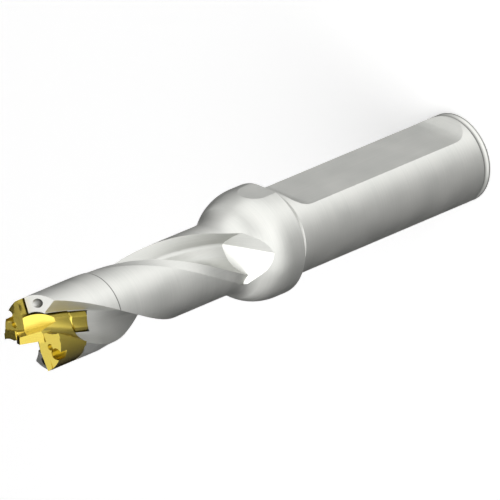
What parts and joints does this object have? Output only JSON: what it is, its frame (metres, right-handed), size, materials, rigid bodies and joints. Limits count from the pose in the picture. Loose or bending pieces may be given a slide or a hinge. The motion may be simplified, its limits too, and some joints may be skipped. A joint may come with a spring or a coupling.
{
  "type": "exchangeable-head twist drill",
  "caption": "Steel fluted drill body with a flatted, collared shank, internal coolant channels and a coated carbide drilling head held in a pocket between its prongs.",
  "frame": {"origin": "centre of the shank's rear face, on the drill's axis", "axes": "+Z along the drill's axis towards the point, +X out of the shank's clamping flat"},
  "size_m": [0.0196, 0.02, 0.1093],
  "materials": {
    "tool_steel": "fine ground, satin",
    "coated_carbide": "ground and gold nitride coated"
  },
  "bodies": {
    "root": {"drill_body": "tool_steel", "drilling_head": "coated_carbide"}
  },
  "joints": []
}
